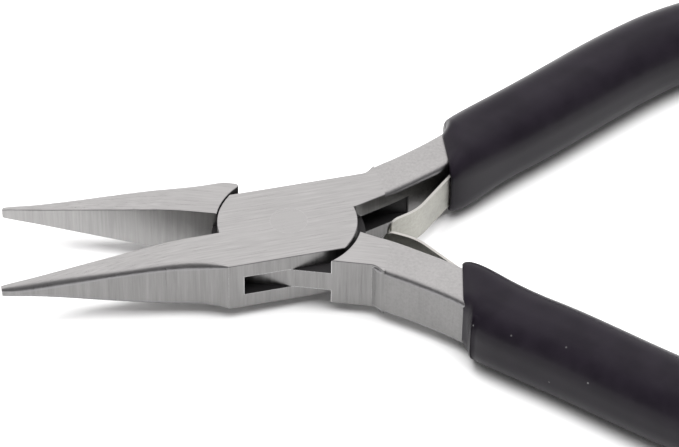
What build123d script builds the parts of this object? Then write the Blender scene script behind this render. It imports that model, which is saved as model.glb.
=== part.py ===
from build123d import *
import math
import os

# Chain-nose pliers with a box joint, two leaf springs and dipped grips, in millimetres.
# Each half is drawn closed in its own plane: X from the pivot towards the handle's end,
# its jaw on the -Y side, its handle on the +Y side. The two planes then stand open by
# half the rest opening, and the web half's plane is the mirror image of the box half's.
# The origin is on the pivot axis, on the joint's lower face. +X points to the handles.

# Joint
rest_opening = 22.07          # degrees between the gripping faces, as the springs hold it
joint_width = 14.25
joint_thickness = 7.6
slot_height = 3.11            # slot through the box half
slot_clearance = 0.05         # above and below the web
shoulder_radius = 9.8         # round shoulders of the web half
jaw_end_gap = 0.15            # from the shoulder to the plates' end at the jaws
handle_end_gap = 0.5          # from the shoulder to the plates' end at the handles
slot_radius = shoulder_radius + 0.8     # round end of the slot at the jaw
web_end_gap = 0.2             # from the slot's end to the web's edge
pin_radius = 2.5
pin_clearance = 0.03          # running fit of the web on the pin
edge_break = 0.15             # edges of the ground faces

# Jaws
jaw_length = 39.45            # from the pivot to the tip
jaw_gap = 0.05                # from each gripping face to the closed centre line
jaw_root = shoulder_radius + 0.2        # where the jaw grows out of the joint
web_root_width = joint_width / 2 - 0.525   # the web half's jaw is ground narrower here
web_root_corner = 0.5         # its corner at the round shoulder
jaw_edge = 0.12               # broken edges of the gripping face
jaw_root_rounding = 0.2
# share of the way from the root to the tip, share of half the joint's width, share of the
# joint's thickness and radius of the outer corners
jaw_shape = (
    (1.0, 0.126, 0.185, 0.5),
    (0.97, 0.164, 0.225, 0.72),
    (0.83, 0.262, 0.35, 1.0),
    (0.68, 0.365, 0.503, 0.95),
    (0.49, 0.505, 0.692, 0.75),
    (0.305, 0.646, 0.882, 0.8),
    (0.187, 0.744, 0.97, 0.95),
    (0.088, 0.856, 0.994, 0.85),
)

# Neck and handle. The neck's sides are given as X and a share of half the joint's width.
neck_start = 14.0             # end of the ground joint face
neck_step = 0.02              # the forged neck is this much lower than the ground face
neck_rounding = 0.7
neck_sink = 0.2               # the neck starts this far inside the joint's side
neck_start_drop = 0.5         # its inner side starts this much nearer the centre line
neck_overlap = 1.6            # it ends this far inside the grip
outer_shape = ((neck_start, 1.165), (16.5, 1.291), (19.6, 1.46), (22.2, 1.614), (25.0, 1.811))
inner_shape = ((neck_start, 0.288), (17.6, 0.47), (20.7, 0.639), (22.6, 0.751), (24.35, 0.877))
crotch = (shoulder_radius - 0.2, 0.7)   # where the neck's inner face meets the shoulder
slot_crotch = (17.5, 0.505 * joint_width / 2)    # end of the slot on the neck's inner face
shoulder_end = 12.0           # end of the joint's straight side
handle_slope = 26.1           # degrees, straight stretch of the handle
handle_straight = 33.5        # from the grip's mouth to the start of the bend
handle_bend_radius = 50.0
handle_bend = 41.2            # degrees
tang_width = 5.2
tang_end_width = 4.4
tang_thickness = 5.6
tang_short = 3.0              # the tang ends this far inside the grip's end

# Grips
mouth_reach = 24.9            # X where the handle line enters the grip
handle_from_neck = 3.35       # from the end of the neck's inner side out to the handle line
mouth_centre = (24.45, 1.235 * joint_width / 2)
mouth_width = 0.61 * joint_width        # round the neck and the leaf's root
mouth_lean = -7.0             # degrees, the mouth reaches further forward over the leaf
grip_film = 0.25              # of the dip at its very edge, over the neck
grip_lip = 1.0                # from the dip's edge to its full thickness
grip_lip_growth = 0.75
grip_mouth_corner = 1.9
grip_first = 4.0              # from the mouth to the first section across the handle
# half the width of each section as a share of half the joint's thickness, and how round
# it is, from 0 for square to 1 for a circle
grip_shape = (
    (1.382, 0.72),
    (1.421, 0.8),
    (1.447, 0.85),
    (1.461, 0.88),
    (1.447, 0.9),
    (1.421, 0.92),
    (1.368, 0.94),
    (1.342, 0.96),
)
grip_end_rounding = 4.0

# Leaf springs
leaf_width = 5.2
leaf_thickness = 0.4
leaf_seat_gap = 0.65          # from the tang to the leaf, room for the leaf to bend back
leaf_root_depth = 2.4         # from the grip's mouth to the leaf's end inside
leaf_bend_reach = 1.86        # from the grip's mouth to the leaf's first bend, outside
leaf_curl = (17.9, -0.7)      # second bend
leaf_tip = (13.3, -2.2)
leaf_bend_radii = (4.0, 8.0)
leaf_tip_rounding = 1.7
leaf_set_lower = 3.7          # degrees, the lower leaf is bent less than the upper one
leaf_rivet_reach = 1.6        # from the leaf's first bend to its rivet
rivet_radius = 0.8
rivet_head_radius = 1.2
rivet_head_height = 0.5
rivet_depth = 2.4             # of the shank in the tang
rivet_play = 0.12
rivet_head_gap = 0.36
pocket_front = 0.45           # from the leaf's middle outwards, at the mouth
pocket_back = 1.0             # and at its back end, where the root lifts
pocket_reach = 3.0            # from the leaf's first bend to the pocket's open end
pocket_side = 0.1
pocket_end = 0.3              # behind the leaf's root

half_width = joint_width / 2
neck_outer = [(x, share * half_width) for x, share in outer_shape]
neck_inner = [(x, share * half_width) for x, share in inner_shape]
grip_mouth = (mouth_reach, neck_inner[-1][1] + handle_from_neck)
half_thickness = joint_thickness / 2
mid_height = half_thickness
web_height = slot_height - 2 * slot_clearance


def half_plane(side):
    """Mid-plane of one half: side +1 is the box half, -1 the web half."""
    angle = math.radians(side * rest_opening / 2)
    return Plane(
        origin=(0, 0, mid_height),
        x_dir=(math.cos(angle), math.sin(angle), 0),
        z_dir=(0, 0, side),
    )


def reach(radius, height):
    """X of the point of a circle about the pivot at this Y."""
    return math.sqrt(radius**2 - height**2)


def along(start, angle, distance):
    """The point at this distance from start, in the direction of angle in degrees."""
    turn = math.radians(angle)
    return (start[0] + distance * math.cos(turn), start[1] + distance * math.sin(turn))


# Handle line, shared by the tang and the grip
bend_start = along(grip_mouth, handle_slope, handle_straight)
bend_centre = along(bend_start, handle_slope - 90, handle_bend_radius)


def on_handle(distance):
    """The point of the handle line at this distance from the mouth, and its direction."""
    if distance <= handle_straight:
        return along(grip_mouth, handle_slope, distance), handle_slope
    turned = math.degrees((distance - handle_straight) / handle_bend_radius)
    direction = handle_slope - turned
    return along(bend_centre, direction + 90, handle_bend_radius), direction


handle_length = handle_straight + math.radians(handle_bend) * handle_bend_radius

# The leaf's root lies along the tang, at its gap, and is riveted to it
leaf_to_tang = leaf_seat_gap + leaf_thickness / 2
leaf_line = along(grip_mouth, handle_slope - 90, tang_width / 2 + leaf_to_tang)
leaf_root = along(leaf_line, handle_slope, leaf_root_depth)
leaf_first_bend = along(leaf_line, handle_slope, -leaf_bend_reach)
leaf_path = (leaf_root, leaf_first_bend, leaf_curl, leaf_tip)
rivet_place = along(leaf_first_bend, handle_slope, leaf_rivet_reach)
rivet_length = leaf_to_tang + rivet_depth


def section_plane(plane, point, direction):
    """Upright plane across a half at this point, facing along direction."""
    turn = math.radians(direction)
    normal = plane.x_dir * math.cos(turn) + plane.y_dir * math.sin(turn)
    across = plane.y_dir * math.cos(turn) - plane.x_dir * math.sin(turn)
    return Plane(origin=plane.from_local_coords((*point, 0)), x_dir=across, z_dir=normal)


def jaw_section(plane, distance, width, half_height, corner):
    """Section of a jaw: a flat gripping face and two rounded outer corners."""
    with BuildSketch(section_plane(plane, (-distance, 0), 0)) as section:
        with Locations((-(width + jaw_gap) / 2, 0)):
            Rectangle(width - jaw_gap, 2 * half_height)
        fillet(section.vertices().group_by(Axis.X)[0], corner)
        fillet(section.vertices().group_by(Axis.X)[-1], jaw_edge)
    return section.sketch


def jaw_sections(plane, root_width):
    """Sections of a jaw from its tip to its root, where it is as thick as the joint."""
    sections = []
    for way, width_share, thickness_share, corner in jaw_shape:
        distance = jaw_root + way * (jaw_length - jaw_root)
        width = width_share * half_width
        sections.append(jaw_section(plane, distance, width, thickness_share * half_thickness, corner))
    sections.append(jaw_section(plane, jaw_root, root_width, half_thickness, jaw_root_rounding))
    return sections


def own_side_plan(plane, root_width):
    """The parts of the ground joint block that carry this half's own jaw and neck."""
    with BuildSketch(plane) as plan:
        with Locations((-jaw_root / 2, -(root_width + jaw_gap) / 2)):
            Rectangle(jaw_root, root_width - jaw_gap)
        with BuildLine():
            shoulder = Line((0, half_width), (shoulder_end, half_width))
            flare_middle = (shoulder_end + 1.2, half_width + 0.5)
            flare = Spline(shoulder @ 1, flare_middle, neck_outer[0], tangents=[(1, 0), (0.8, 0.6)])
            Polyline(flare @ 1, neck_inner[0], crotch, (0, jaw_gap), (0, half_width))
        make_face()
    return plan.sketch


def disc_plan(plane, jaw_radius, handle_radius):
    """Plate about the pivot, flat at the joint's sides, with a radius for each end."""
    with BuildSketch(plane) as plan:
        with BuildLine():
            jaw_arc = CenterArc((0, 0), jaw_radius, 90, 180)
            handle_arc = CenterArc((0, 0), handle_radius, -90, 180)
            Line(jaw_arc @ 0, handle_arc @ 1)
            Line(jaw_arc @ 1, handle_arc @ 0)
        make_face()
        Rectangle(3 * slot_radius, joint_width, mode=Mode.INTERSECT)
    return plan.sketch


def ground_edges(block, plane):
    """Edges of a block's two ground faces, apart from where the jaw and the neck go on."""
    ends = (-jaw_root, neck_start)

    def at_an_end(edge):
        place = plane.to_local_coords(edge.center()).X
        return any(abs(place - end) < edge_break for end in ends)

    return [edge for edge in block.faces().filter_by(Axis.Z).edges() if not at_an_end(edge)]


def root_corner(block, plane):
    """Upright edge where the web half's jaw root meets its round shoulder, on the outside."""
    corner = (-reach(shoulder_radius, web_root_width), -web_root_width, 0)
    return block.edges().filter_by(Axis.Z).sort_by_distance(plane.from_local_coords(corner))[:1]


def slot_plan(plane):
    """Slot of the box half: round at the jaw, with a tail into the neck."""
    with BuildSketch(plane) as plan:
        Circle(slot_radius)
        with BuildLine():
            tail_side = (reach(slot_radius, slot_crotch[1] + 1), slot_crotch[1] + 1)
            Polyline((0, 0), (slot_crotch[0], 0), slot_crotch, tail_side, (0, 0))
        make_face()
    return plan.sketch


def neck_plan(plane):
    """Forged neck, from inside the joint block to just inside the grip."""
    with BuildSketch(plane) as plan:
        with BuildLine():
            outer_end = along(neck_outer[-1], handle_slope, neck_overlap)
            inner_end = along(neck_inner[-1], handle_slope, neck_overlap)
            outer = Spline((shoulder_end, half_width - neck_sink), *neck_outer, outer_end)
            inner = Spline((shoulder_end, neck_inner[0][1] - neck_start_drop), *neck_inner, inner_end)
            Line(outer @ 0, inner @ 0)
            Line(outer @ 1, inner @ 1)
        make_face()
    return plan.sketch


def long_edges(neck):
    """The four long edges of a neck."""
    return neck.edges().filter_by(Axis.Z, reverse=True).sort_by(SortBy.LENGTH)[-4:]


def tang_plan(plane):
    """Tapering tang along the handle line, from inside the neck to near the grip's end."""
    tang_end, end_direction = on_handle(handle_length - tang_short)
    tang_start = along(grip_mouth, handle_slope, -1.5)
    with BuildSketch(plane) as plan:
        with BuildLine():
            sides = []
            for side in (1, -1):
                start = along(tang_start, handle_slope + 90 * side, tang_width / 2)
                straight_end = along(bend_start, handle_slope + 90 * side, tang_width / 2)
                end = along(tang_end, end_direction + 90 * side, tang_end_width / 2)
                straight = Line(start, straight_end)
                bend = TangentArc(straight_end, end, tangent=straight % 1)
                sides.append((straight, bend))
            Line(sides[0][0] @ 0, sides[1][0] @ 0)
            Line(sides[0][1] @ 1, sides[1][1] @ 1)
        make_face()
    return plan.sketch


def leaf_plane(plane, leaf_set):
    """A half's plane turned about its leaf's rivet, so that the leaf is bent less."""
    turned = Plane(plane.location * Location((*rivet_place, 0)) * Rotation(0, 0, leaf_set))
    return Plane(turned.location * Location((-rivet_place[0], -rivet_place[1], 0)))


def rivet_plane(plane, lift):
    """Plane across the leaf's root at its rivet, lifted off the leaf's middle, facing the axis."""
    facing = handle_slope - 90
    return section_plane(plane, along(rivet_place, facing, lift), facing)


box_plane = half_plane(1)
web_plane = half_plane(-1)


# Ground joint blocks, with their edges broken
with BuildPart() as box_block:
    extrude(own_side_plan(box_plane, half_width), amount=half_thickness, both=True)
    extrude(
        disc_plan(box_plane, shoulder_radius - jaw_end_gap, shoulder_radius - handle_end_gap),
        amount=half_thickness,
        both=True,
    )
    fillet(ground_edges(box_block.part, box_plane), edge_break)

with BuildPart() as web_block:
    extrude(own_side_plan(web_plane, web_root_width), amount=half_thickness, both=True)
    with Locations((0, 0, mid_height)):
        Cylinder(shoulder_radius, joint_thickness, mode=Mode.SUBTRACT)
    fillet(root_corner(web_block.part, web_plane), web_root_corner)
    fillet(ground_edges(web_block.part, web_plane), edge_break)

# Box half: two plates joined by the slotted jaw root and neck
with BuildPart() as box_half:
    extrude(neck_plan(box_plane), amount=half_thickness - neck_step, both=True)
    fillet(long_edges(box_half), neck_rounding)
    extrude(tang_plan(box_plane), amount=tang_thickness / 2, both=True)
    add(box_block.part)
    loft(sections=jaw_sections(box_plane, half_width))
    extrude(slot_plan(box_plane), amount=slot_height / 2, both=True, mode=Mode.SUBTRACT)
    with Locations((0, 0, mid_height)):
        Cylinder(pin_radius, joint_thickness, mode=Mode.SUBTRACT)
    with BuildSketch(rivet_plane(box_plane, 0)):
        Circle(rivet_radius)
    extrude(amount=-rivet_length, mode=Mode.SUBTRACT)

# Web half: a thin round web between its two shoulders
with BuildPart() as web_half:
    extrude(neck_plan(web_plane), amount=half_thickness - neck_step, both=True)
    fillet(long_edges(web_half), neck_rounding)
    extrude(tang_plan(web_plane), amount=tang_thickness / 2, both=True)
    add(web_block.part)
    with BuildSketch(web_plane):
        Circle(slot_radius - web_end_gap)
        Rectangle(3 * slot_radius, joint_width, mode=Mode.INTERSECT)
    extrude(amount=web_height / 2, both=True)
    loft(sections=jaw_sections(web_plane, web_root_width))
    with Locations((0, 0, mid_height)):
        Cylinder(pin_radius + pin_clearance, joint_thickness, mode=Mode.SUBTRACT)
    with BuildSketch(rivet_plane(web_plane, 0)):
        Circle(rivet_radius)
    extrude(amount=-rivet_length, mode=Mode.SUBTRACT)

# Pivot pin, ground flush with the joint faces
with BuildPart() as pivot_pin:
    with Locations((0, 0, mid_height)):
        Cylinder(pin_radius, joint_thickness)


def spring_pocket(plane):
    """Room under the grip for the leaf's root to lift off the tang, and for the rivet's head."""
    outward = handle_slope - 90
    front_side = along(leaf_first_bend, handle_slope, -pocket_reach)
    back_side = along(leaf_root, handle_slope, pocket_end)
    rise = leaf_curl[1] - leaf_first_bend[1]
    leaf_direction = math.degrees(math.atan2(rise, leaf_curl[0] - leaf_first_bend[0]))
    leaf_side = along(leaf_first_bend, leaf_direction, pocket_reach)
    with BuildPart() as pocket:
        with BuildSketch(plane):
            with BuildLine():
                Polyline(
                    along(front_side, outward, -leaf_to_tang),
                    along(back_side, outward, -leaf_to_tang),
                    along(back_side, outward, pocket_back),
                    along(leaf_first_bend, outward, pocket_front),
                    along(leaf_side, leaf_direction + 90, pocket_front),
                    close=True,
                )
            make_face()
        extrude(amount=leaf_width / 2 + pocket_side, both=True)
        with BuildSketch(rivet_plane(plane, 0)):
            Circle(rivet_head_radius + pocket_side)
        extrude(amount=leaf_thickness / 2 + rivet_head_gap + rivet_head_height + pocket_side)
    return pocket.part


def grip_section(plane, distance, share, roundness):
    """Section of a grip, between a square and a circle, across the handle line."""
    point, direction = on_handle(distance)
    radius = share * half_thickness
    with BuildSketch(section_plane(plane, point, direction)) as section:
        RectangleRounded(2 * radius, 2 * radius, roundness * radius)
    return section.sketch


def mouth_section(plane, depth, growth):
    """Section of a grip at its mouth, at this depth behind the edge of the dip."""
    centre = along(mouth_centre, handle_slope, depth)
    width = mouth_width + 2 * growth
    height = joint_thickness + 2 * (grip_film + growth)
    with BuildSketch(section_plane(plane, centre, mouth_lean)) as section:
        RectangleRounded(width, height, grip_mouth_corner + growth)
    return section.sketch


def grip_body(plane):
    """Dipped grip without its bore: a mouth close round the neck and a rounded end."""
    spacing = (handle_length - grip_first) / (len(grip_shape) - 1)
    sections = [mouth_section(plane, 0, 0), mouth_section(plane, grip_lip, grip_lip_growth)]
    for step, (share, roundness) in enumerate(grip_shape):
        sections.append(grip_section(plane, grip_first + spacing * step, share, roundness))
    with BuildPart() as body:
        loft(sections=sections)
        end_face = body.faces().filter_by(GeomType.PLANE).sort_by(Axis.X)[-1]
        fillet(end_face.edges(), grip_end_rounding)
    return body.part


# Leaf springs: strips that leave their handles and curl along the tool's axis
with BuildPart() as leaf_spring_upper:
    with BuildSketch(leaf_plane(box_plane, 0)):
        with BuildLine() as upper_path:
            FilletPolyline(*leaf_path, radius=leaf_bend_radii)
        trace(line_width=leaf_thickness)
    extrude(amount=leaf_width / 2, both=True)
    tip = leaf_spring_upper.faces().sort_by(Axis.X)[0]
    fillet(tip.edges().filter_by(Axis.Z, reverse=True), leaf_tip_rounding)
    with BuildSketch(rivet_plane(box_plane, 0)):
        Circle(rivet_radius + rivet_play)
    extrude(amount=leaf_thickness, both=True, mode=Mode.SUBTRACT)

with BuildPart() as leaf_spring_lower:
    with BuildSketch(leaf_plane(web_plane, -leaf_set_lower)):
        with BuildLine() as lower_path:
            FilletPolyline(*leaf_path, radius=leaf_bend_radii)
        trace(line_width=leaf_thickness)
    extrude(amount=leaf_width / 2, both=True)
    tip = leaf_spring_lower.faces().sort_by(Axis.X)[0]
    fillet(tip.edges().filter_by(Axis.Z, reverse=True), leaf_tip_rounding)
    with BuildSketch(rivet_plane(web_plane, 0)):
        Circle(rivet_radius + rivet_play)
    extrude(amount=leaf_thickness, both=True, mode=Mode.SUBTRACT)

# Rivets that fasten the leaves' roots to the tangs
with BuildPart() as spring_rivet_upper:
    with BuildSketch(rivet_plane(box_plane, -rivet_length)):
        Circle(rivet_radius)
    extrude(amount=rivet_length + leaf_thickness / 2 + rivet_head_gap)
    with BuildSketch(rivet_plane(box_plane, leaf_thickness / 2 + rivet_head_gap)):
        Circle(rivet_head_radius)
    extrude(amount=rivet_head_height)

with BuildPart() as spring_rivet_lower:
    with BuildSketch(rivet_plane(web_plane, -rivet_length)):
        Circle(rivet_radius)
    extrude(amount=rivet_length + leaf_thickness / 2 + rivet_head_gap)
    with BuildSketch(rivet_plane(web_plane, leaf_thickness / 2 + rivet_head_gap)):
        Circle(rivet_head_radius)
    extrude(amount=rivet_head_height)

# Dipped grips, each bored to the shape of its own half
with BuildPart() as grip_upper:
    add(grip_body(box_plane))
    add(box_half.part, mode=Mode.SUBTRACT)
    add(spring_rivet_upper.part, mode=Mode.SUBTRACT)
    add(spring_pocket(box_plane), mode=Mode.SUBTRACT)

with BuildPart() as grip_lower:
    add(grip_body(web_plane))
    add(web_half.part, mode=Mode.SUBTRACT)
    add(spring_rivet_lower.part, mode=Mode.SUBTRACT)
    add(spring_pocket(web_plane), mode=Mode.SUBTRACT)

pieces = {
    "box_half": box_half,
    "web_half": web_half,
    "pivot_pin": pivot_pin,
    "leaf_spring_upper": leaf_spring_upper,
    "leaf_spring_lower": leaf_spring_lower,
    "spring_rivet_upper": spring_rivet_upper,
    "spring_rivet_lower": spring_rivet_lower,
    "grip_upper": grip_upper,
    "grip_lower": grip_lower,
}

os.makedirs("parts", exist_ok=True)
for name, piece in pieces.items():
    piece.part.label = name
    export_step(piece.part, f"parts/{name}.step")
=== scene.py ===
import bmesh
import bpy
import math
from mathutils import Matrix, Vector, noise
from mathutils.bvhtree import BVHTree


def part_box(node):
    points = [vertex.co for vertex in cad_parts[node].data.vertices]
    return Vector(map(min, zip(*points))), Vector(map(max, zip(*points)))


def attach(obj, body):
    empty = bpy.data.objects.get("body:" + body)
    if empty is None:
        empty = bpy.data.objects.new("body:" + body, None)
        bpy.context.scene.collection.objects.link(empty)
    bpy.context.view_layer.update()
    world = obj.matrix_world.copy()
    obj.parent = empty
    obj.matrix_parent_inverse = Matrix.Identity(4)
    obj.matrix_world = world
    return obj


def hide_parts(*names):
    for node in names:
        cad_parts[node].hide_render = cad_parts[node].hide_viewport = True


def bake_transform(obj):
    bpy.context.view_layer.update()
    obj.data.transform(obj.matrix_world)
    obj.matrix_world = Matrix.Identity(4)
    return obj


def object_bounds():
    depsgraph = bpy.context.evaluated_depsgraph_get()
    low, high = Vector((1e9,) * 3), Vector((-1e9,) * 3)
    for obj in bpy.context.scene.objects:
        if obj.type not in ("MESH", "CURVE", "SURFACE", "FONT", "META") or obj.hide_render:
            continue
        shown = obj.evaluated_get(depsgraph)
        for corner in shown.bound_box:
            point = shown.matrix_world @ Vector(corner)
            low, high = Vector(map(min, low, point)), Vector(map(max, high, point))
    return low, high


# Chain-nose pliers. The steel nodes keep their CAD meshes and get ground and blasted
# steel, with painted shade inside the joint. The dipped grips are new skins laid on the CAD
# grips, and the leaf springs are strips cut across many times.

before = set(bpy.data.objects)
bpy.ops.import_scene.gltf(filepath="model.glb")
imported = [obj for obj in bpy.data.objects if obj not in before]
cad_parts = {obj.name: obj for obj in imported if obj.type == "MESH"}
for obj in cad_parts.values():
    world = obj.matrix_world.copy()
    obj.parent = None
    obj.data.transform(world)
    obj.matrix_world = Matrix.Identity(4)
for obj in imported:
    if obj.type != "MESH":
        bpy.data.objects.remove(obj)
cad_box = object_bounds()

MM = 0.001
HALF_TURN = math.radians(22.07 / 2)        # each half stands open by this at rest
PIVOT = Vector((0, 0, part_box("pivot_pin")[1].z / 2))
FLOOR_Z = cad_box[0].z
SIDES = {"upper": 1, "lower": -1}          # which way each handle lies from the centre line
SIDE_BODY = {"upper": "box_side", "lower": "web_side"}
HALF_NODE = {"upper": "box_half", "lower": "web_half"}

# The joint in a half's own closed frame, as the CAD part has it
JOINT_SIDE = 7.125 * MM        # from the pivot to the joint's straight sides
NECK_START = 14.0 * MM
SLOT_TAIL_END = 17.5 * MM
SLOT_HALF_HEIGHT = 1.56 * MM   # rounded up by 0.005 mm
SLOT_RADIUS = 10.6 * MM
SHOULDER_RADIUS = 9.8 * MM
PLATE_END_RADIUS = 9.3 * MM    # of the plates' ends at the handles
GRIPPING_START = 9.6 * MM      # the gripping faces lie beyond this, from the pivot

# Handle line in the same frame
MOUTH = Vector((24.9, 9.599)) * MM
MOUTH_CENTRE = Vector((24.45, 8.799)) * MM
MOUTH_LEAN = math.radians(-7.0)
SLOPE = math.radians(26.1)
STRAIGHT = 33.5 * MM
BEND_RADIUS = 50.0 * MM
BEND = math.radians(41.2)


# ---------------------------------------------------------------- node trees

class Tree:
    """Short way of building a node tree."""

    def __init__(self, tree):
        self.tree = tree

    def put(self, socket, value):
        if isinstance(value, bpy.types.NodeSocket):
            self.tree.links.new(value, socket)
        else:
            socket.default_value = value

    def add(self, kind, inputs=None, **settings):
        node = self.tree.nodes.new(kind)
        for key, value in settings.items():
            setattr(node, key, value)
        for key, value in (inputs or {}).items():
            self.put(node.inputs[key], value)
        return node

    def math(self, operation, *values, clamp=False):
        inputs = dict(enumerate(values))
        return self.add("ShaderNodeMath", inputs, operation=operation, use_clamp=clamp).outputs[0]

    def multiply(self, first, *others):
        for other in others:
            first = self.math("MULTIPLY", first, other)
        return first

    def step(self, value, low, high, to_low=0.0, to_high=1.0):
        """Smooth change from to_low at low to to_high at high."""
        inputs = {"Value": value, "From Min": low, "From Max": high, "To Min": to_low, "To Max": to_high}
        return self.add("ShaderNodeMapRange", inputs, interpolation_type="SMOOTHSTEP").outputs[0]

    def under(self, value, limit, ease):
        """1 below the limit, falling to 0 over ease."""
        return self.step(value, limit + ease, limit)

    def over(self, value, limit, ease):
        """1 above the limit, rising from 0 over ease below it."""
        return self.step(value, limit - ease, limit)

    def mix(self, factor, first, second):
        node = self.add("ShaderNodeMix", {0: factor, 6: first, 7: second}, data_type="RGBA")
        return node.outputs[2]

    def blend(self, factor, first, second):
        node = self.add("ShaderNodeMix", {0: factor, 2: first, 3: second}, data_type="FLOAT")
        return node.outputs[0]

    def noise(self, vector, scale=1.0, detail=3.0, rough=0.5):
        inputs = {"Vector": vector, "Scale": scale, "Detail": detail, "Roughness": rough}
        return self.add("ShaderNodeTexNoise", inputs).outputs[0]

    def scaled(self, vector, scale):
        return self.add("ShaderNodeMapping", {"Vector": vector, "Scale": scale}).outputs[0]

    def tinted(self, level, tint):
        channels = {channel: self.multiply(level, part) for channel, part in enumerate(tint)}
        return self.add("ShaderNodeCombineColor", channels).outputs[0]

    def connect(self, shader, colour, metallic, rough, height, strength, distance):
        """Connects the shader, with bumps of this height."""
        bump = self.add("ShaderNodeBump", {"Height": height, "Strength": strength, "Distance": distance})
        self.put(shader.inputs["Base Color"], colour)
        self.put(shader.inputs["Metallic"], metallic)
        self.put(shader.inputs["Roughness"], rough)
        self.put(shader.inputs["Normal"], bump.outputs[0])


def grey(level, tint=(1.0, 1.0, 1.0)):
    return (level * tint[0], level * tint[1], level * tint[2], 1.0)


def new_material(name):
    material = bpy.data.materials.new(name)
    material.use_nodes = True
    tree = Tree(material.node_tree)
    return material, tree, material.node_tree.nodes["Principled BSDF"]


def own_place(tree, side):
    """A point's place in its half's own closed frame: its vector, x, outward y and height."""
    coordinates = tree.add("ShaderNodeTexCoord").outputs["Object"]
    turn = {"Vector": coordinates, "Rotation": (0, 0, -side * HALF_TURN)}
    turned = tree.add("ShaderNodeMapping", turn).outputs[0]
    x, y, z = tree.add("ShaderNodeSeparateXYZ", {0: turned}).outputs
    return turned, x, tree.math("MULTIPLY", y, float(side)), tree.math("SUBTRACT", z, PIVOT.z)


# ---------------------------------------------------------------- steel

TOP_LEVEL = 0.50               # lightness of the ground top faces
SIDE_PAINTED_SHADE_LEVEL = 0.205             # of the sides, painted darker than the tops as painted shade
GRIPPING_LEVEL = 0.30          # of the gripping faces
STEEL = (1.0, 0.985, 0.975)
ROUNDED_REFLECTION_TINT = (0.97, 0.95, 1.0)  # of the painted darker reflection on the rounded corners
EDGE_WIDTH = 0.12 * MM         # of the painted edge highlights
GRAIN_HEIGHT = 0.04 * MM       # of the grinding marks


def edge_highlight_mask(tree, radius):
    """1 on a sharp edge, 0 away from it."""
    bevel = tree.add("ShaderNodeBevel", {"Radius": radius}, samples=4).outputs[0]
    normal = tree.add("ShaderNodeNewGeometry").outputs["Normal"]
    straight = tree.add("ShaderNodeVectorMath", {0: bevel, 1: normal}, operation="DOT_PRODUCT")
    return tree.step(straight.outputs["Value"], 0.985, 0.90)


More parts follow.
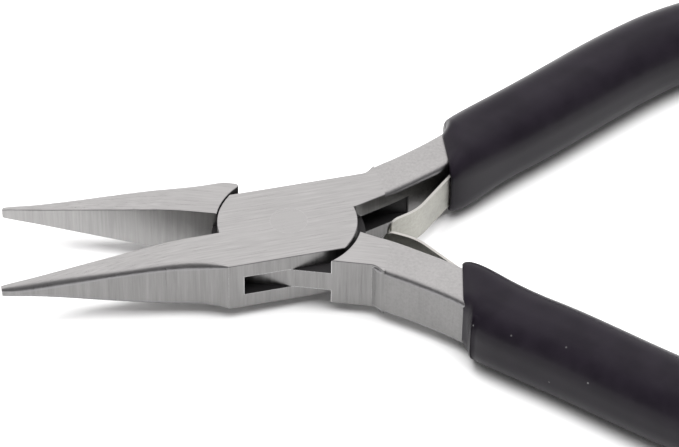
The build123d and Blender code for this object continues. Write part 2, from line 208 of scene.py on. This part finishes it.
def half_steel(name, side, has_slot, reach):
    """Ground joint and jaws, streaked sides and blasted neck, with painted shade inside the joint,
    sides painted darker than the tops as painted shade, a painted reflection on the rounded
    corners and painted edge highlights.

    The round walls painted with shade lie within reach of the pivot.
    """
    material, tree, shader = new_material(name)
    place, x, y, z = own_place(tree, side)
    normal = tree.add("ShaderNodeNewGeometry").outputs["Normal"]
    upright = tree.math("ABSOLUTE", tree.add("ShaderNodeSeparateXYZ", {0: normal}).outputs[2])
    flat = tree.step(upright, 0.55, 0.9)
    depth = tree.math("ABSOLUTE", z)
    from_centre = tree.math("ABSOLUTE", y)
    radius = tree.math("SQRT", tree.math("ADD", tree.multiply(x, x), tree.multiply(y, y)))

    # finishes
    brushed = tree.noise(tree.scaled(place, (160, 3800, 3800)), detail=4.0, rough=0.65)
    streaks = tree.noise(tree.scaled(place, (4200, 4200, 170)), detail=4.0, rough=0.6)
    coarse_streaks = tree.noise(tree.scaled(place, (1300, 1300, 60)), detail=2.0)
    blasted = tree.noise(place, 2600, detail=3.0, rough=0.7)
    clouds = tree.noise(place, 190, detail=3.0)
    neck = tree.over(x, NECK_START + 0.15 * MM, 0.2 * MM)
    gripping = tree.multiply(tree.under(x, -GRIPPING_START, 0.2 * MM),
                             tree.under(from_centre, 0.2 * MM, 0.2 * MM))
    side_grain = tree.blend(0.45, streaks, coarse_streaks)
    side_grain = tree.blend(tree.multiply(neck, 0.55), side_grain, blasted)
    top_grain = tree.blend(tree.multiply(neck, 0.8), brushed, blasted)
    grain = tree.blend(flat, side_grain, top_grain)

    # colour
    contrast = tree.blend(gripping, tree.blend(flat, 1.0, 0.7), 0.9)
    lightness = tree.math("MULTIPLY", tree.math("SUBTRACT", grain, 0.5), contrast)
    lightness = tree.math("ADD", tree.math("ADD", lightness, 1.0),
                          tree.multiply(tree.math("SUBTRACT", clouds, 0.5), 0.16))
    # the sides get a darker grey than the tops: painted shade
    base = tree.blend(flat, tree.blend(gripping, SIDE_PAINTED_SHADE_LEVEL, GRIPPING_LEVEL), TOP_LEVEL)
    level = tree.multiply(base, lightness)
    colour = tree.tinted(level, STEEL)
    # the rounded corners between sides and tops are painted a darker violet grey: painted reflection
    rounded = tree.multiply(tree.step(upright, 0.06, 0.3), tree.step(upright, 0.98, 0.8))
    colour = tree.mix(tree.multiply(rounded, 0.35), colour, grey(0.30, ROUNDED_REFLECTION_TINT))
    from_neck = tree.math("ABSOLUTE", tree.math("SUBTRACT", x, NECK_START))
    # the sharp edges are painted bright grey, away from the neck's step: painted highlight
    painted_edge_highlight = tree.multiply(edge_highlight_mask(tree, EDGE_WIDTH), tree.over(from_neck, 0.6 * MM, 0.3 * MM))
    colour = tree.mix(tree.multiply(painted_edge_highlight, 0.5), colour, grey(0.85))

    # painted shade in the slot and on the web and shoulder walls inside the joint
    slot_face = tree.multiply(flat, tree.under(depth, SLOT_HALF_HEIGHT + 0.04 * MM, 0.15 * MM),
                              tree.under(x, SLOT_TAIL_END + 0.5 * MM, 0.5 * MM),
                              tree.over(x, -SLOT_RADIUS - 0.1 * MM, 0.2 * MM))
    wall = tree.multiply(tree.under(upright, 0.25, 0.15),
                         tree.under(from_centre, JOINT_SIDE - 0.325 * MM, 0.15 * MM),
                         tree.under(x, SLOT_TAIL_END + 0.15 * MM, 0.15 * MM))
    within = tree.under(radius, reach + 0.04 * MM, 0.08 * MM)
    if has_slot:
        in_tail = tree.math("MAXIMUM", within, tree.over(x, 0.1 * MM, 0.1 * MM))
        inside = tree.multiply(wall, in_tail, tree.under(depth, SLOT_HALF_HEIGHT, 0.09 * MM))
        ends = tree.multiply(wall, tree.under(radius, PLATE_END_RADIUS - 0.1 * MM, 0.2 * MM))
        walls = tree.math("MAXIMUM", inside, ends)
    else:
        walls = tree.multiply(wall, within, tree.over(depth, SLOT_HALF_HEIGHT, 0.08 * MM))
    black = tree.math("MAXIMUM", slot_face, walls)
    black = tree.multiply(black, tree.step(clouds, 0.2, 0.45, 0.85, 1.0))
    # the slot faces and joint walls get a near-black grey: painted shade
    colour = tree.mix(black, colour, grey(0.022, (1.0, 0.95, 1.0)))

    rough = tree.step(grain, 0.3, 0.7, 0.27, 0.38)
    rough = tree.math("ADD", rough, tree.multiply(neck, 0.06))
    metallic = tree.step(black, 0.0, 1.0, 1.0, 0.3)
    tree.connect(shader, colour, metallic, tree.blend(black, rough, 0.6), grain, 0.22, GRAIN_HEIGHT)
    return material


def pin_steel():
    """The pin is ground with the joint, so its ends are brushed along the box half."""
    material, tree, shader = new_material("pin_steel")
    place = own_place(tree, 1)[0]
    brushed = tree.noise(tree.scaled(place, (170, 3600, 3600)), detail=4.0, rough=0.65)
    level = tree.step(brushed, 0.2, 0.8, TOP_LEVEL * 0.94, TOP_LEVEL * 1.04)
    rough = tree.step(brushed, 0.3, 0.7, 0.26, 0.36)
    tree.connect(shader, tree.tinted(level, STEEL), 1.0, rough, brushed, 0.2, GRAIN_HEIGHT)
    return material


def spring_steel(name, level, tint):
    """Dull, slightly yellow strip with a mottled surface, its upward faces painted lighter as painted
    light.
    """
    material, tree, shader = new_material(name)
    coordinates = tree.add("ShaderNodeTexCoord").outputs["Object"]
    mottle = tree.noise(coordinates, 2300, detail=4.0, rough=0.7)
    patches = tree.noise(coordinates, 420, detail=2.0)
    both = tree.blend(0.4, mottle, patches)
    shade = tree.mix(tree.step(both, 0.3, 0.7), grey(level * 0.78, tint), grey(level * 1.12, tint))
    normal = tree.add("ShaderNodeNewGeometry").outputs["Normal"]
    upright = tree.math("ABSOLUTE", tree.add("ShaderNodeSeparateXYZ", {0: normal}).outputs[2])
    # upward faces are painted a lighter grey: painted light
    upward_painted_light = tree.step(upright, 0.6, 0.9)
    shade = tree.mix(tree.multiply(upward_painted_light, 0.7), shade, grey(0.78, (1.0, 0.98, 0.94)))
    rough = tree.step(both, 0.3, 0.7, 0.34, 0.48)
    tree.connect(shader, shade, 1.0, rough, mottle, 0.25, 0.03 * MM)
    return material


def dress(node, material):
    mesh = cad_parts[node].data
    for index in range(len(mesh.materials)):
        mesh.materials[index] = material
    if not mesh.materials:
        mesh.materials.append(material)


def steel_nodes():
    dress("box_half", half_steel("box_half_steel", 1, True, SLOT_RADIUS))
    dress("web_half", half_steel("web_half_steel", -1, False, SHOULDER_RADIUS))
    dress("pivot_pin", pin_steel())
    rivet = spring_steel("rivet_steel", 0.5, (1.0, 0.98, 0.95))
    dress("spring_rivet_upper", rivet)
    dress("spring_rivet_lower", rivet)


# ---------------------------------------------------------------- dipped grips

def dipped_vinyl():
    """Near-black dip with a faint violet tone, slight unevenness and a few specks of dust."""
    material, tree, shader = new_material("dipped_vinyl")
    coordinates = tree.add("ShaderNodeTexCoord").outputs["Object"]
    cloudy = tree.noise(coordinates, 260, detail=3.0)
    fine = tree.noise(coordinates, 1500, detail=3.0, rough=0.6)
    darker = grey(0.0075, (1.0, 0.76, 1.22))
    lighter = grey(0.011, (1.0, 0.78, 1.18))
    body = tree.mix(tree.step(cloudy, 0.3, 0.7), darker, lighter)
    cells = tree.add("ShaderNodeTexVoronoi", {"Vector": coordinates, "Scale": 430.0})
    speck = tree.step(cells.outputs["Distance"], 0.075, 0.045)
    chance = tree.add("ShaderNodeSeparateColor", {0: cells.outputs["Color"]}).outputs[0]
    gathered = tree.step(tree.noise(coordinates, 70, detail=1.0), 0.52, 0.6)
    dust = tree.multiply(speck, tree.step(chance, 0.80, 0.82), gathered)
    colour = tree.mix(tree.multiply(dust, 0.35), body, grey(0.4))
    rough = tree.math("ADD", tree.step(cloudy, 0.3, 0.7, 0.30, 0.37), tree.multiply(dust, 0.3))
    shader.inputs["Specular IOR Level"].default_value = 0.16
    tree.connect(shader, colour, 0.0, rough, tree.blend(0.3, cloudy, fine), 0.10, 0.12 * MM)
    return material


def to_world(side, point, height=0.0):
    """From a half's own closed frame to the tool's frame at rest."""
    x, y = point[0], side * point[1]
    turn = side * HALF_TURN
    return Vector((x * math.cos(turn) - y * math.sin(turn), x * math.sin(turn) + y * math.cos(turn),
                   PIVOT.z + height))


def direction(angle):
    return Vector((math.cos(angle), math.sin(angle)))


def on_handle(distance):
    """The point of the handle line at this distance from the mouth, and its direction."""
    if distance <= STRAIGHT:
        return MOUTH + direction(SLOPE) * distance, SLOPE
    angle = SLOPE - (distance - STRAIGHT) / BEND_RADIUS
    centre = MOUTH + direction(SLOPE) * STRAIGHT + direction(SLOPE - math.pi / 2) * BEND_RADIUS
    return centre + direction(angle + math.pi / 2) * BEND_RADIUS, angle


HANDLE_LENGTH = STRAIGHT + BEND * BEND_RADIUS
AROUND = 72                    # points round a grip
CLEAR = 12 * MM                # rays start this far from the handle line
FACING_MOUTH = 4.0 * MM        # sections turn from the mouth's plane to the handle's over this
MOUTH_DEPTHS = (0.03, 0.15, 0.35, 0.6, 0.9, 1.15, 1.5, 2.0, 2.6, 3.3)  # mm, of the first sections
HANDLE_SECTIONS = 52
END_CENTRE = 4.8 * MM          # the end is a fan about a point this far before it
END_SECTIONS = 11              # of that fan
END_STEP = 7.7                 # degrees between them
RIM = 0.085                    # the mouth's rim turns in by this share
UNEVEN = 0.05 * MM             # depth of the dip's waves
UNEVEN_SCALE = 130             # their frequency
UNDER_STEEL = 0.15 * MM        # depth of the skin where it passes under steel


def surface(node):
    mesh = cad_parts[node].data
    faces = [tuple(face.vertices) for face in mesh.polygons]
    return BVHTree.FromPolygons([vertex.co for vertex in mesh.vertices], faces)


def grip_skin(side, node, half):
    """Rings of points laid on the outside of the CAD grip, from its mouth to its rounded end.

    Where steel lies outside the grip, or there is no grip, the points lie just under the steel.
    """
    grip, steel = surface(node), surface(half)

    def ring(centre, angle, lean, wave):
        """Points round centre in a plane facing angle.

        lean tips the rays towards the end, and wave is the share of the dip's waves.
        """
        points = []
        for step in range(AROUND):
            turn = 2 * math.pi * step / AROUND
            across = direction(angle + math.pi / 2) * math.cos(turn)
            ahead = direction(angle) * math.sin(lean)
            flat_way = across * math.cos(lean) + ahead
            rise = math.sin(turn) * math.cos(lean)
            away = to_world(side, centre + flat_way * CLEAR, rise * CLEAR)
            back = (to_world(side, centre) - away).normalized()
            hit, _, _, distance = grip.ray_cast(away, back, CLEAR)
            under, _, _, steel_distance = steel.ray_cast(away, back, CLEAR)
            if hit and (not under or distance < steel_distance):
                inward = (0.5 + 0.5 * noise.noise(hit * UNEVEN_SCALE)) * UNEVEN * wave
            else:
                hit, inward = under, UNDER_STEEL
            points.append(hit + back * inward)
        return points

    rings = []
    for depth in MOUTH_DEPTHS:
        share = min(1.0, depth * MM / FACING_MOUTH)
        centre = MOUTH_CENTRE.lerp(on_handle(FACING_MOUTH)[0], share)
        angle = MOUTH_LEAN + (SLOPE - MOUTH_LEAN) * share ** 2
        rings.append(ring(centre, angle, 0.0, min(1.0, depth)))
    last = HANDLE_LENGTH - END_CENTRE
    for step in range(HANDLE_SECTIONS + 1):
        centre, angle = on_handle(FACING_MOUTH + (last - FACING_MOUTH) * step / HANDLE_SECTIONS)
        rings.append(ring(centre, angle, 0.0, 1.0))
    end, end_angle = on_handle(last)
    for step in range(1, END_SECTIONS + 1):
        rings.append(ring(end, end_angle, math.radians(END_STEP * step), 1.0))
    tip = ring(end, end_angle, math.radians(90), 1.0)[0]
    rim = [point.lerp(to_world(side, MOUTH_CENTRE), RIM) for point in rings[0]]
    return [rim] + rings, tip


def smooth_piece(name, bm, material):
    mesh = bpy.data.meshes.new(name)
    bmesh.ops.recalc_face_normals(bm, faces=bm.faces)
    bm.to_mesh(mesh)
    bm.free()
    mesh.materials.append(material)
    mesh.polygons.foreach_set("use_smooth", [True] * len(mesh.polygons))
    piece = bpy.data.objects.new(name, mesh)
    bpy.context.scene.collection.objects.link(piece)
    return piece


def dipped_grip(level, material):
    side = SIDES[level]
    node = "grip_" + level
    rings, tip = grip_skin(side, node, HALF_NODE[level])
    bm = bmesh.new()
    loops = [[bm.verts.new(point) for point in ring] for ring in rings]
    pole = bm.verts.new(tip)
    for first, second in zip(loops, loops[1:]):
        for step in range(AROUND):
            after = (step + 1) % AROUND
            bm.faces.new((first[step], first[after], second[after], second[step]))
    for step in range(AROUND):
        bm.faces.new((loops[-1][step], loops[-1][(step + 1) % AROUND], pole))
    bm.faces.new(loops[0][::-1])
    piece = smooth_piece("dipped_grip_" + level, bm, material)
    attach(piece, SIDE_BODY[level])
    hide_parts(node)


# ---------------------------------------------------------------- leaf springs

CUT = 0.35 * MM                # between the cuts across the leaf
FLAT = math.radians(0.5)       # faces that turn less than this are one face
SHARP = math.radians(35)       # edges that turn more than this stay sharp


def leaf_spring(level, material):
    """The CAD leaf's strip, cut across many times."""
    node = "leaf_spring_" + level
    bm = bmesh.new()
    bm.from_mesh(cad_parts[node].data)
    bmesh.ops.remove_doubles(bm, verts=bm.verts, dist=1e-7)
    bmesh.ops.dissolve_limit(bm, angle_limit=FLAT, verts=bm.verts, edges=bm.edges)
    low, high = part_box(node)
    cut = low.x + CUT
    while cut < high.x:
        geometry = bm.verts[:] + bm.edges[:] + bm.faces[:]
        bmesh.ops.bisect_plane(bm, geom=geometry, dist=1e-8, plane_co=(cut, 0, 0), plane_no=(1, 0, 0))
        cut += CUT
    piece = smooth_piece("flexing_leaf_" + level, bm, material)
    piece.data.set_sharp_from_angle(angle=SHARP)
    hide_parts(node)
    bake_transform(piece)


# ---------------------------------------------------------------- studio

FLOOR_REACH = 3.0              # from the centre to each side


def plain_floor():
    material, _, shader = new_material("pale_floor")
    shader.inputs["Base Color"].default_value = grey(0.82)
    shader.inputs["Roughness"].default_value = 0.9
    shader.inputs["Specular IOR Level"].default_value = 0.0
    mesh = bpy.data.meshes.new("floor")
    corners = [(x * FLOOR_REACH, y * FLOOR_REACH, FLOOR_Z)
               for x, y in ((-1, -1), (1, -1), (1, 1), (-1, 1))]
    mesh.from_pydata(corners, [], [(0, 1, 2, 3)])
    mesh.materials.append(material)
    floor = bpy.data.objects.new("floor", mesh)
    bpy.context.scene.collection.objects.link(floor)


def soft_surroundings():
    """A white tent, brighter behind the tool than in front of it."""
    world = bpy.data.worlds.new("studio")
    world.use_nodes = True
    bpy.context.scene.world = world
    tree = Tree(world.node_tree)
    way = tree.add("ShaderNodeTexCoord").outputs["Generated"]
    towards = tree.add("ShaderNodeVectorMath", {0: way, 1: (0.0, 0.72, 0.69)}, operation="DOT_PRODUCT")
    strength = tree.step(towards.outputs["Value"], 0.25, 0.92, 0.34, 1.08)
    background = world.node_tree.nodes["Background"]
    background.inputs["Color"].default_value = (1.0, 0.985, 0.99, 1.0)
    tree.put(background.inputs["Strength"], strength)


def lamp(name, place, size, power, glossy):
    light = bpy.data.lights.new(name, "AREA")
    light.size = size
    light.energy = power
    holder = bpy.data.objects.new(name, light)
    holder.location = place
    holder.rotation_mode = "QUATERNION"
    holder.rotation_quaternion = (PIVOT - Vector(place)).to_track_quat("-Z", "Y")
    holder.visible_glossy = glossy
    bpy.context.scene.collection.objects.link(holder)


CAMERA_DISTANCE = 0.480
CAMERA_TURN = math.radians(2.897)          # of the camera round the pivot
CAMERA_RISE = math.radians(41.91)
CAMERA_LENS = 188.2
AIM = Vector((0.01431, 0.00511))           # of the picture's centre from the pivot, as slopes


def camera():
    data = bpy.data.cameras.new("camera")
    data.lens = CAMERA_LENS
    data.sensor_width = 36.0
    data.clip_start = 0.01
    right = Vector((math.cos(CAMERA_TURN), -math.sin(CAMERA_TURN), 0))
    level_back = Vector((-math.sin(CAMERA_TURN), -math.cos(CAMERA_TURN), 0))
    back = level_back * math.cos(CAMERA_RISE) + Vector((0, 0, math.sin(CAMERA_RISE)))
    up = back.cross(right)
    look = (-back + right * AIM.x + up * AIM.y).normalized()
    across = look.cross(up).normalized()
    holder = bpy.data.objects.new("camera", data)
    holder.location = PIVOT + back * CAMERA_DISTANCE
    holder.rotation_mode = "QUATERNION"
    holder.rotation_quaternion = Matrix((across, across.cross(look), -look)).transposed().to_quaternion()
    bpy.context.scene.collection.objects.link(holder)
    bpy.context.scene.camera = holder


steel_nodes()
vinyl = dipped_vinyl()
leaf_steel = spring_steel("leaf_steel", 0.36, (1.0, 0.985, 0.90))
for level in SIDES:
    dipped_grip(level, vinyl)
    leaf_spring(level, leaf_steel)

plain_floor()
soft_surroundings()
lamp("overhead", (0.0, -0.05, 0.9), 0.9, 16.0, glossy=False)
camera()
bpy.context.scene.view_settings.view_transform = "Standard"
